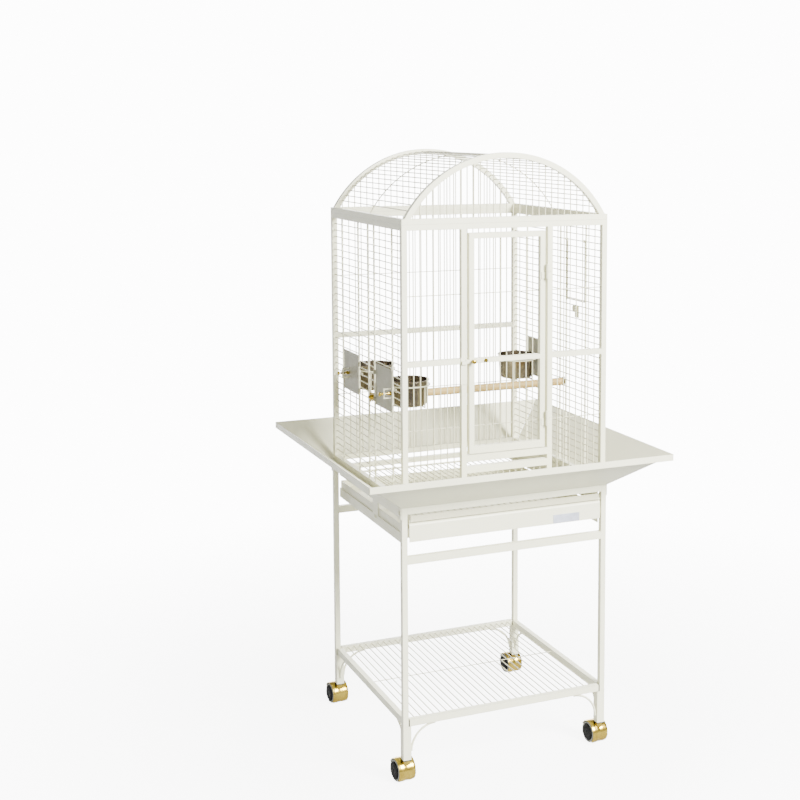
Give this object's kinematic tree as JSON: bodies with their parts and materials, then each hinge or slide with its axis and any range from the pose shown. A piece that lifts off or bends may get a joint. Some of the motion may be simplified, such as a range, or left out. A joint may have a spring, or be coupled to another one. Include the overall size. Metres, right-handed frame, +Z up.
{
  "type": "bird cage on stand",
  "caption": "Dome-top wire bird cage with a front door, side feeders, perch and seed guards, on a rolling stand with a slide-out tray and a lower shelf.",
  "frame": {"origin": "on the floor, under the middle of the stand", "axes": "+Z up, -Y out of the front door, +X to the right as seen from the front"},
  "size_m": [0.744, 0.738, 1.4249],
  "materials": {
    "white_coat": "satin powder coat",
    "grey_coat": "matt powder coat",
    "brass": "polished",
    "cup_steel": "brushed",
    "black_plastic": "matt",
    "wheel_plastic": "moulded",
    "perch_wood": "smooth, unvarnished",
    "label": "plain"
  },
  "bodies": {
    "root": {"front_panel": "white_coat", "back_panel": "white_coat", "left_panel": "white_coat", "right_panel": "white_coat", "dome_front": "white_coat", "dome_rear": "white_coat", "roof_grille": "white_coat", "roof_hoop": "white_coat", "jamb_fittings": "white_coat", "hinge_pins": "white_coat", "cup_holders": "white_coat", "perch": "perch_wood", "perch_screws": "brass", "stand_legs": "white_coat", "stand_rails": "white_coat", "side_frames": "white_coat", "leg_brackets": "white_coat", "frame_screws": "white_coat", "shelf": "white_coat", "shelf_plugs": "black_plastic", "foot_posts": "white_coat", "corner_braces": "white_coat", "front_seed_guard": "white_coat", "rear_seed_guard": "white_coat", "side_seed_guards": "white_coat", "stem_sockets": "black_plastic"},
    "main_door_body": {"main_door": "white_coat", "door_knuckles": "white_coat", "latch_rivet": "brass"},
    "door_latch_body": {"door_latch": "white_coat", "latch_knob": "brass"},
    "feeder_door_body_left_front": {"feeder_door_left_front": "grey_coat", "feeder_loop_left_front": "white_coat"},
    "feeder_latch_body_left_front": {"feeder_knob_left_front": "brass"},
    "cup_body_left_front": {"cup_left_front": "cup_steel"},
    "feeder_door_body_left_rear": {"feeder_door_left_rear": "grey_coat", "feeder_loop_left_rear": "white_coat"},
    "feeder_latch_body_left_rear": {"feeder_knob_left_rear": "brass"},
    "cup_body_left_rear": {"cup_left_rear": "cup_steel"},
    "feeder_door_body_right_rear": {"feeder_door_right_rear": "grey_coat", "feeder_loop_right_rear": "white_coat"},
    "feeder_latch_body_right_rear": {"feeder_knob_right_rear": "brass"},
    "cup_body_right_rear": {"cup_right_rear": "cup_steel"},
    "nest_door_body": {"nest_door": "white_coat"},
    "nest_latch_body": {"nest_latch": "white_coat"},
    "tray_body": {"tray": "white_coat", "label_plate": "label"},
    "grate_body": {"grate": "white_coat"},
    "caster_front_left": {"caster_hood_front_left": "brass"},
    "left_wheel_body_front_left": {"left_wheel_front_left": "wheel_plastic"},
    "right_wheel_body_front_left": {"right_wheel_front_left": "wheel_plastic"},
    "caster_front_right": {"caster_hood_front_right": "brass"},
    "left_wheel_body_front_right": {"left_wheel_front_right": "wheel_plastic"},
    "right_wheel_body_front_right": {"right_wheel_front_right": "wheel_plastic"},
    "caster_rear_left": {"caster_hood_rear_left": "brass"},
    "left_wheel_body_rear_left": {"left_wheel_rear_left": "wheel_plastic"},
    "right_wheel_body_rear_left": {"right_wheel_rear_left": "wheel_plastic"},
    "caster_rear_right": {"caster_hood_rear_right": "brass"},
    "left_wheel_body_rear_right": {"left_wheel_rear_right": "wheel_plastic"},
    "right_wheel_body_rear_right": {"right_wheel_rear_right": "wheel_plastic"}
  },
  "joints": [
    {"name": "main_door_hinge", "type": "hinge", "parent": "root", "child": "main_door_body", "pos_m": [0.0975, -0.2601, 1], "axis": [0, 0, 1], "range_deg": [0, 150]},
    {"name": "door_latch_lift", "type": "hinge", "parent": "main_door_body", "child": "door_latch_body", "pos_m": [-0.0555, -0.2564, 0.9587], "axis": [0, 1, 0], "range_deg": [0, 40]},
    {"name": "feeder_door_hinge_left_front", "type": "hinge", "parent": "root", "child": "feeder_door_body_left_front", "pos_m": [-0.25075, -0.0615, 0.889], "axis": [0, 0, -1], "range_deg": [0, 100]},
    {"name": "feeder_latch_pull_left_front", "type": "slide", "parent": "feeder_door_body_left_front", "child": "feeder_latch_body_left_front", "axis": [-1, 0, 0], "range_m": [0, 0.005], "stiffness_N_per_m": 200, "springref_m": -0.004},
    {"name": "cup_lift_left_front", "type": "slide", "parent": "root", "child": "cup_body_left_front", "axis": [0, 0, 1], "range_m": [0, 0.065]},
    {"name": "feeder_door_hinge_left_rear", "type": "hinge", "parent": "root", "child": "feeder_door_body_left_rear", "pos_m": [-0.25075, 0.0515, 0.889], "axis": [0, 0, 1], "range_deg": [0, 100]},
    {"name": "feeder_latch_pull_left_rear", "type": "slide", "parent": "feeder_door_body_left_rear", "child": "feeder_latch_body_left_rear", "axis": [-1, 0, 0], "range_m": [0, 0.005], "stiffness_N_per_m": 200, "springref_m": -0.004},
    {"name": "cup_lift_left_rear", "type": "slide", "parent": "root", "child": "cup_body_left_rear", "axis": [0, 0, 1], "range_m": [0, 0.065]},
    {"name": "feeder_door_hinge_right_rear", "type": "hinge", "parent": "root", "child": "feeder_door_body_right_rear", "pos_m": [0.25075, 0.0515, 0.889], "axis": [0, 0, -1], "range_deg": [0, 100]},
    {"name": "feeder_latch_pull_right_rear", "type": "slide", "parent": "feeder_door_body_right_rear", "child": "feeder_latch_body_right_rear", "axis": [1, 0, 0], "range_m": [0, 0.005], "stiffness_N_per_m": 200, "springref_m": -0.004},
    {"name": "cup_lift_right_rear", "type": "slide", "parent": "root", "child": "cup_body_right_rear", "axis": [0, 0, 1], "range_m": [0, 0.065]},
    {"name": "nest_door_hinge", "type": "hinge", "parent": "root", "child": "nest_door_body", "pos_m": [0.24765, -0.104, 1.20952], "axis": [0, -1, 0], "range_deg": [0, 100]},
    {"name": "nest_latch_turn", "type": "hinge", "parent": "root", "child": "nest_latch_body", "pos_m": [0.24765, -0.104, 1.04284], "axis": [1, 0, 0], "range_deg": [0, 180]},
    {"name": "tray_slide", "type": "slide", "parent": "root", "child": "tray_body", "axis": [0, -1, 0], "range_m": [0, 0.4]},
    {"name": "grate_slide", "type": "slide", "parent": "root", "child": "grate_body", "axis": [0, -1, 0], "range_m": [0, 0.4]},
    {"name": "caster_swivel_front_left", "type": "hinge", "parent": "root", "child": "caster_front_left", "pos_m": [-0.2475, -0.2445, 0.06], "axis": [0, 0, 1], "continuous": true},
    {"name": "left_wheel_spin_front_left", "type": "hinge", "parent": "caster_front_left", "child": "left_wheel_body_front_left", "pos_m": [-0.24907, -0.22657, 0.025], "axis": [0.9962, 0.0872, 0], "continuous": true},
    {"name": "right_wheel_spin_front_left", "type": "hinge", "parent": "caster_front_left", "child": "right_wheel_body_front_left", "pos_m": [-0.24907, -0.22657, 0.025], "axis": [0.9962, 0.0872, 0], "continuous": true},
    {"name": "caster_swivel_front_right", "type": "hinge", "parent": "root", "child": "caster_front_right", "pos_m": [0.2475, -0.2445, 0.06], "axis": [0, 0, 1], "continuous": true},
    {"name": "left_wheel_spin_front_right", "type": "hinge", "parent": "caster_front_right", "child": "left_wheel_body_front_right", "pos_m": [0.24593, -0.22657, 0.025], "axis": [0.9962, 0.0872, 0], "continuous": true},
    {"name": "right_wheel_spin_front_right", "type": "hinge", "parent": "caster_front_right", "child": "right_wheel_body_front_right", "pos_m": [0.24593, -0.22657, 0.025], "axis": [0.9962, 0.0872, 0], "continuous": true},
    {"name": "caster_swivel_rear_left", "type": "hinge", "parent": "root", "child": "caster_rear_left", "pos_m": [-0.2475, 0.2445, 0.06], "axis": [0, 0, 1], "continuous": true},
    {"name": "left_wheel_spin_rear_left", "type": "hinge", "parent": "caster_rear_left", "child": "left_wheel_body_rear_left", "pos_m": [-0.24907, 0.26243, 0.025], "axis": [0.9962, 0.0872, 0], "continuous": true},
    {"name": "right_wheel_spin_rear_left", "type": "hinge", "parent": "caster_rear_left", "child": "right_wheel_body_rear_left", "pos_m": [-0.24907, 0.26243, 0.025], "axis": [0.9962, 0.0872, 0], "continuous": true},
    {"name": "caster_swivel_rear_right", "type": "hinge", "parent": "root", "child": "caster_rear_right", "pos_m": [0.2475, 0.2445, 0.06], "axis": [0, 0, 1], "continuous": true},
    {"name": "left_wheel_spin_rear_right", "type": "hinge", "parent": "caster_rear_right", "child": "left_wheel_body_rear_right", "pos_m": [0.24593, 0.26243, 0.025], "axis": [0.9962, 0.0872, 0], "continuous": true},
    {"name": "right_wheel_spin_rear_right", "type": "hinge", "parent": "caster_rear_right", "child": "right_wheel_body_rear_right", "pos_m": [0.24593, 0.26243, 0.025], "axis": [0.9962, 0.0872, 0], "continuous": true}
  ]
}
